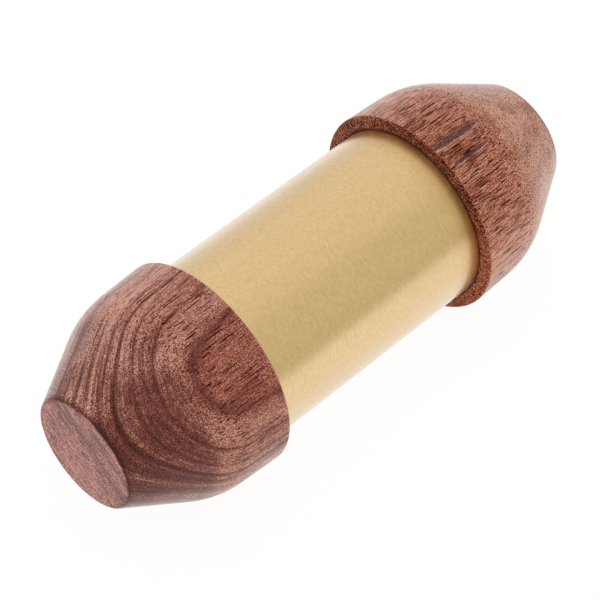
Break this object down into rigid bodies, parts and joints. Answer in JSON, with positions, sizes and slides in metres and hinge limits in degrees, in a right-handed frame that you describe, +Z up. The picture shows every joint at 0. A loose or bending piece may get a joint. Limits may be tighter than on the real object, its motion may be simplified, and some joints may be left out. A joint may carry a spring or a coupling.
{
  "type": "ganza shaker",
  "caption": "Hand shaker: a metal tube with a turned hardwood cap on each end, and loose steel shot inside that slides from end to end and swirls round the wall.",
  "frame": {"origin": "centre of the object: on the tube's axis, halfway between the two flat ends", "axes": "+X along the tube's axis towards the far cap; +Z up with the shaker lying on the rims of its two caps; +Y level, to the left of +X"},
  "size_m": [0.139, 0.0522, 0.0522],
  "materials": {
    "gold_aluminium": "gold anodised, satin, faintly brushed round the tube",
    "reddish_hardwood": "turned and oiled, matte, with dark pores and growth rings",
    "steel_shot": "bright polished balls"
  },
  "bodies": {
    "shell": {"tube": "gold_aluminium", "near_cap": "reddish_hardwood", "far_cap": "reddish_hardwood"},
    "shot_bed": {"shot_centre_row": "steel_shot"},
    "low_row_1": {"shot_low_row_1": "steel_shot"},
    "low_row_2": {"shot_low_row_2": "steel_shot"},
    "low_row_3": {"shot_low_row_3": "steel_shot"},
    "low_row_4": {"shot_low_row_4": "steel_shot"},
    "high_row_1": {"shot_high_row_1": "steel_shot"},
    "high_row_2": {"shot_high_row_2": "steel_shot"},
    "high_row_3": {"shot_high_row_3": "steel_shot"},
    "high_row_4": {"shot_high_row_4": "steel_shot"}
  },
  "joints": [
    {"name": "shot_swirl", "type": "hinge", "parent": "shell", "child": "shot_bed", "pos_m": [0, 0, 0], "axis": [1, 0, 0], "continuous": true},
    {"name": "low_row_1_slide", "type": "slide", "parent": "shot_bed", "child": "low_row_1", "axis": [1, 0, 0], "range_m": [-0.02581, 0.01389]},
    {"name": "low_row_2_slide", "type": "slide", "parent": "shot_bed", "child": "low_row_2", "axis": [1, 0, 0], "range_m": [-0.01092, 0.02878]},
    {"name": "low_row_3_slide", "type": "slide", "parent": "shot_bed", "child": "low_row_3", "axis": [1, 0, 0], "range_m": [-0.02382, 0.01588]},
    {"name": "low_row_4_slide", "type": "slide", "parent": "shot_bed", "child": "low_row_4", "axis": [1, 0, 0], "range_m": [-0.00695, 0.03275]},
    {"name": "high_row_1_slide", "type": "slide", "parent": "shot_bed", "child": "high_row_1", "axis": [1, 0, 0], "range_m": [-0.0129, 0.0268]},
    {"name": "high_row_2_slide", "type": "slide", "parent": "shot_bed", "child": "high_row_2", "axis": [1, 0, 0], "range_m": [-0.03077, 0.00893]},
    {"name": "high_row_3_slide", "type": "slide", "parent": "shot_bed", "child": "high_row_3", "axis": [1, 0, 0], "range_m": [-0.01687, 0.02283]},
    {"name": "high_row_4_slide", "type": "slide", "parent": "shot_bed", "child": "high_row_4", "axis": [1, 0, 0], "range_m": [-0.02779, 0.01191]}
  ]
}
